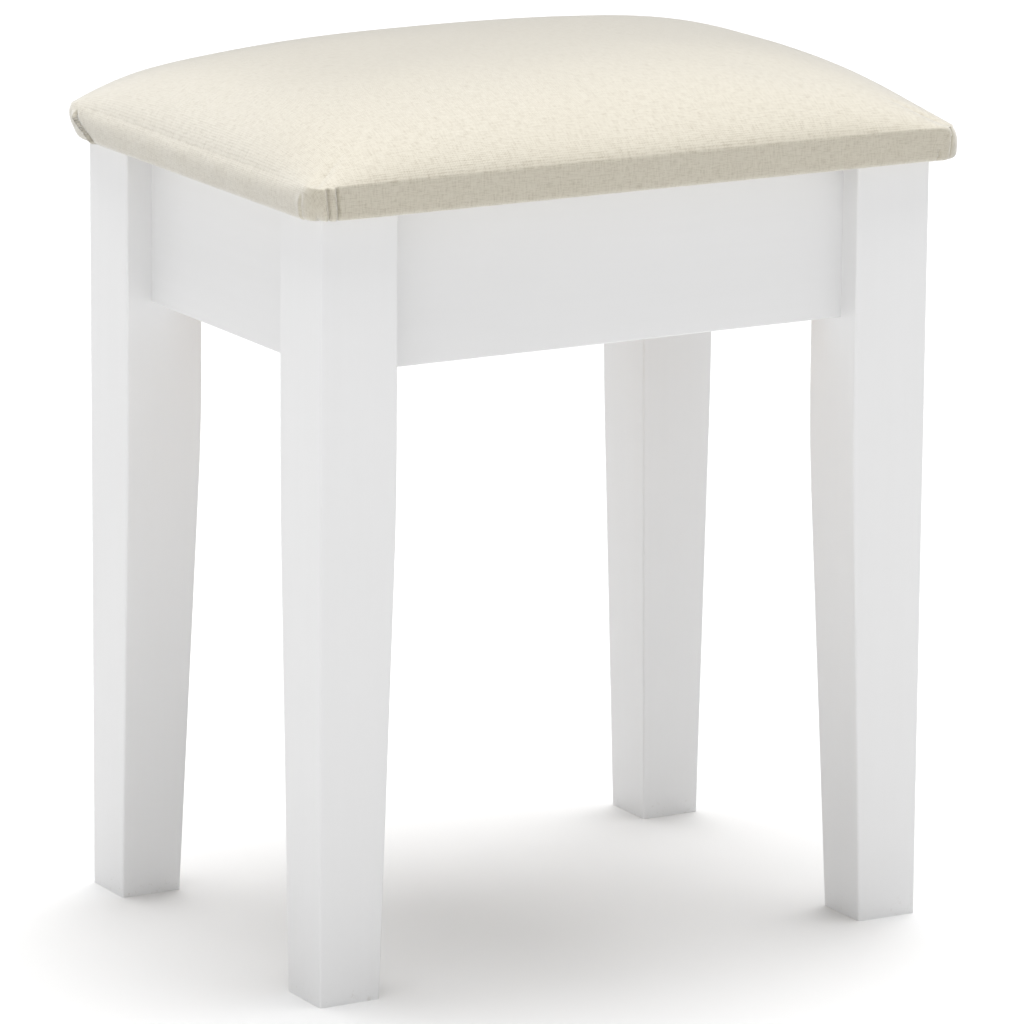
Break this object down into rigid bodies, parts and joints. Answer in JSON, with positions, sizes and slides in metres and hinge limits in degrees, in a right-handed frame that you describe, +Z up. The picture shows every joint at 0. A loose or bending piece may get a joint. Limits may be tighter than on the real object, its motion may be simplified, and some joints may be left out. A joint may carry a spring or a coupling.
{
  "type": "dressing stool",
  "caption": "Small backless stool with a crowned fabric seat on a rectangular painted wooden frame, its square legs tapering on their inner faces.",
  "frame": {"origin": "on the floor, under the middle of the seat", "axes": "+X along the seat's long side, +Y from front to back, +Z up"},
  "size_m": [0.366, 0.269, 0.45],
  "materials": {
    "painted_wood": "white satin lacquer",
    "raw_wood": "sawn, unfinished",
    "beech": "fluted dowel, unfinished",
    "plywood": "unfinished plywood",
    "foam": "soft open-cell foam",
    "seat_fabric": "plain linen-look weave",
    "zinc_steel": "zinc plated"
  },
  "bodies": {
    "root": {"leg_front_left": "painted_wood", "leg_front_right": "painted_wood", "leg_back_right": "painted_wood", "leg_back_left": "painted_wood", "apron_front": "painted_wood", "apron_right": "painted_wood", "apron_back": "painted_wood", "apron_left": "painted_wood", "corner_block_front_left": "raw_wood", "corner_block_front_right": "raw_wood", "corner_block_back_right": "raw_wood", "corner_block_back_left": "raw_wood", "dowels": "beech", "hanger_bolts": "zinc_steel", "bolt_washers": "zinc_steel", "bolt_nuts": "zinc_steel", "block_screws": "zinc_steel", "seat_screws": "zinc_steel", "cover_staples": "zinc_steel", "seat_board": "plywood", "seat_foam": "foam", "seat_cover": "seat_fabric"}
  },
  "joints": []
}
